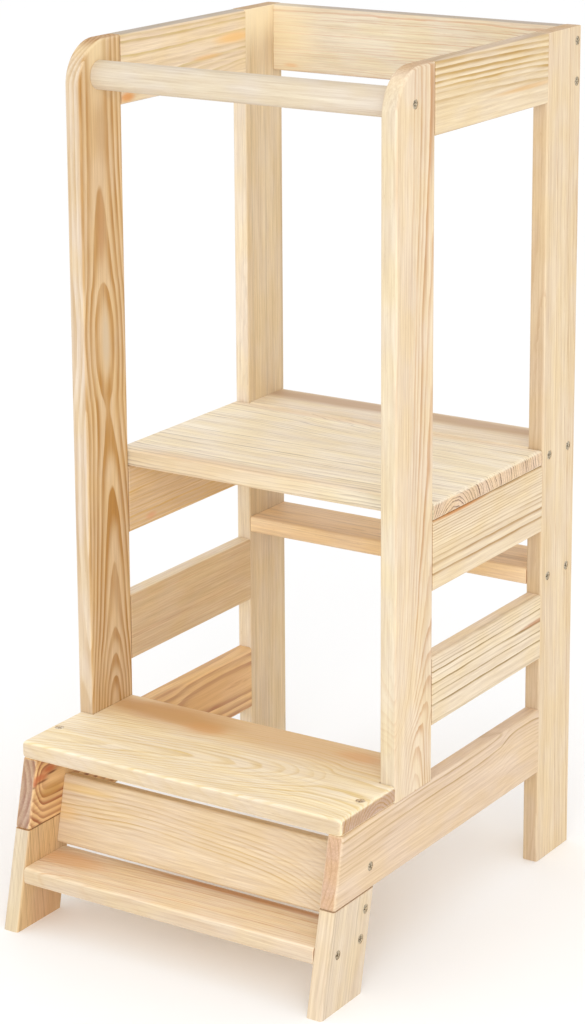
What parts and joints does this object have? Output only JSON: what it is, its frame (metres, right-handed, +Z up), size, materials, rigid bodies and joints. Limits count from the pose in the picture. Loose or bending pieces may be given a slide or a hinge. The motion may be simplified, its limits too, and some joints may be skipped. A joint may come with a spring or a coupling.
{
  "type": "toddler kitchen helper stool",
  "caption": "Tall wooden step stool with side frames, a standing platform, a front step and a round handle bar, so that a toddler can stand safely at counter height.",
  "frame": {"origin": "on the floor, under the middle of the whole stool's box", "axes": "+X from the child's left post to the right post as seen from the step side, +Y from the step to the back, +Z up"},
  "size_m": [0.386, 0.509, 0.9],
  "materials": {
    "pine_board": "planed pine with eased edges, bare or thinly oiled",
    "pine_bar": "turned pine, sanded smooth",
    "zinc_screw": "bright zinc plated, cross recess",
    "beech_dowel": "plain beech"
  },
  "bodies": {
    "root": {"left_rear_post": "pine_board", "right_rear_post": "pine_board", "left_front_post": "pine_board", "right_front_post": "pine_board", "left_top_rail": "pine_board", "right_top_rail": "pine_board", "left_platform_rail": "pine_board", "right_platform_rail": "pine_board", "left_middle_rail": "pine_board", "right_middle_rail": "pine_board", "left_bottom_rail": "pine_board", "right_bottom_rail": "pine_board", "left_foot": "pine_board", "right_foot": "pine_board", "rear_top_rail": "pine_board", "platform": "pine_board", "platform_stretcher": "pine_board", "lower_stretcher": "pine_board", "step_tread": "pine_board", "step_riser": "pine_board", "toe_board": "pine_board", "handle_bar": "pine_bar", "handle_bar_screws": "zinc_screw", "rear_top_rail_screws": "zinc_screw", "platform_stretcher_screws": "zinc_screw", "lower_stretcher_screws": "zinc_screw", "riser_screws": "zinc_screw", "toe_board_screws": "zinc_screw", "tread_screws": "zinc_screw", "rail_dowels": "beech_dowel", "post_foot_dowels": "beech_dowel", "foot_dowels": "beech_dowel", "platform_dowels": "beech_dowel"}
  },
  "joints": []
}
